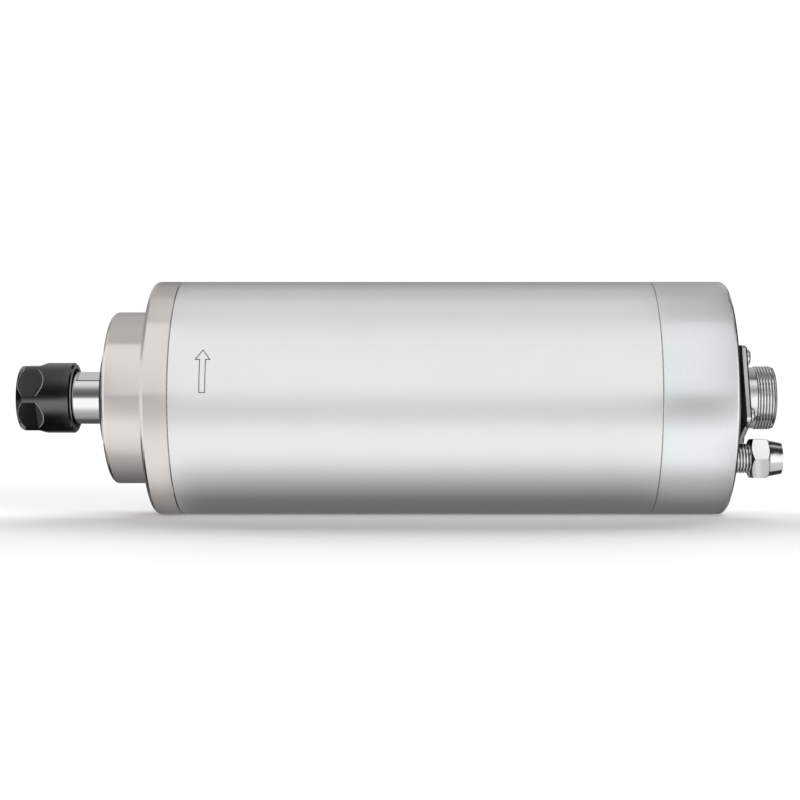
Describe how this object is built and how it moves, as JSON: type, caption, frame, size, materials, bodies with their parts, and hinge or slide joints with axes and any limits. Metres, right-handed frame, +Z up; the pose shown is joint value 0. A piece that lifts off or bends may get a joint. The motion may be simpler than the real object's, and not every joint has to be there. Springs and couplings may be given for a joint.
{
  "type": "motor spindle",
  "caption": "Cylindrical water-cooled milling spindle with a collet chuck in front and a cable connector and hose fittings at the rear.",
  "frame": {"origin": "on the spindle axis, at the middle of the 80 mm body", "axes": "+X along the spindle axis from the collet to the connector, +Z up, -Y towards the arrow on the sleeve"},
  "size_m": [0.259, 0.08, 0.08],
  "materials": {
    "stainless_ground": "ground stainless steel, satin, slightly warm",
    "stainless_tube": "polished stainless tube with fine turning lines",
    "aluminium": "machined",
    "rubber": "matt black",
    "steel_laminations": "varnished laminations",
    "copper_winding": "varnished copper wire",
    "bearing_steel": "ground and polished",
    "machined_steel": "turned",
    "black_screws": "black oxide",
    "anodised_aluminium": "satin anodised, slightly cool",
    "nickel_plate": "nickel plated die casting",
    "moulded_plastic": "moulded",
    "contact_brass": "bright",
    "bright_screws": "nickel plated",
    "fitting_chrome": "chrome plated",
    "ground_steel": "ground bright",
    "cage_plastic": "phenolic resin",
    "collet_steel": "ground spring steel",
    "black_oxide": "black oxide, satin"
  },
  "bodies": {
    "housing": {"front_housing": "stainless_ground", "outer_sleeve": "stainless_tube", "water_jacket": "aluminium", "jacket_o_rings": "rubber", "stator_core": "steel_laminations", "stator_windings": "copper_winding", "front_bearing_outer_rings": "bearing_steel", "front_bearing_retainer": "machined_steel", "retainer_screws": "black_screws", "rear_bearing_housing": "machined_steel", "rear_bearing_outer_ring": "bearing_steel", "preload_spring": "bearing_steel", "rear_cap": "anodised_aluminium", "rear_cap_screws": "black_screws", "connector_gasket": "rubber", "connector_shell": "nickel_plate", "connector_insert": "moulded_plastic", "connector_pins": "contact_brass", "connector_screws": "bright_screws", "inlet_fitting": "fitting_chrome", "outlet_fitting": "fitting_chrome"},
    "rotor": {"spindle_shaft": "ground_steel", "dust_ring": "rubber", "rotor_core": "steel_laminations", "rotor_end_rings": "aluminium", "front_bearing_inner_rings": "bearing_steel", "rear_bearing_inner_ring": "bearing_steel", "front_lock_nut": "machined_steel", "rear_lock_nut": "machined_steel"},
    "front_cage": {"front_balls": "bearing_steel", "front_cages": "cage_plastic"},
    "rear_cage": {"rear_balls": "bearing_steel", "rear_cage": "cage_plastic"},
    "collet": {"er_collet": "collet_steel"},
    "collet_nut": {"collet_nut": "black_oxide"},
    "inlet_ferrule": {"inlet_ferrule": "contact_brass"},
    "inlet_nut": {"inlet_nut": "fitting_chrome"},
    "outlet_ferrule": {"outlet_ferrule": "contact_brass"},
    "outlet_nut": {"outlet_nut": "fitting_chrome"}
  },
  "joints": [
    {"name": "rotor_spin", "type": "hinge", "parent": "housing", "child": "rotor", "pos_m": [0, 0, 0], "axis": [-1, 0, 0], "continuous": true},
    {"name": "front_cage_spin", "type": "hinge", "parent": "housing", "child": "front_cage", "pos_m": [-0.094, 0, 0], "axis": [-1, 0, 0], "continuous": true},
    {"name": "rear_cage_spin", "type": "hinge", "parent": "housing", "child": "rear_cage", "pos_m": [0.0625, 0, 0], "axis": [-1, 0, 0], "continuous": true},
    {"name": "collet_draw", "type": "slide", "parent": "rotor", "child": "collet", "axis": [-1, 0, 0], "range_m": [0, 0.004]},
    {"name": "collet_nut_turn", "type": "hinge", "parent": "collet", "child": "collet_nut", "pos_m": [-0.135, 0, 0], "axis": [-1, 0, 0], "range_deg": [0, 1440]},
    {"name": "inlet_ferrule_slide", "type": "slide", "parent": "housing", "child": "inlet_ferrule", "axis": [1, 0, 0], "range_m": [0, 0.004]},
    {"name": "inlet_nut_turn", "type": "hinge", "parent": "inlet_ferrule", "child": "inlet_nut", "pos_m": [0.109, -0.0129, -0.02048], "axis": [1, 0, 0], "range_deg": [0, 1440]},
    {"name": "outlet_ferrule_slide", "type": "slide", "parent": "housing", "child": "outlet_ferrule", "axis": [1, 0, 0], "range_m": [0, 0.004]},
    {"name": "outlet_nut_turn", "type": "hinge", "parent": "outlet_ferrule", "child": "outlet_nut", "pos_m": [0.109, 0.0242, 0], "axis": [1, 0, 0], "range_deg": [0, 1440]}
  ],
  "couplings": [
    {"joint": "front_cage_spin", "follows": "rotor_spin", "ratio": 0.39758},
    {"joint": "rear_cage_spin", "follows": "rotor_spin", "ratio": 0.39872},
    {"joint": "collet_draw", "follows": "collet_nut_turn", "m_per_rad": 0.00015915},
    {"joint": "inlet_ferrule_slide", "follows": "inlet_nut_turn", "m_per_rad": 0.00015915},
    {"joint": "outlet_ferrule_slide", "follows": "outlet_nut_turn", "m_per_rad": 0.00015915}
  ]
}
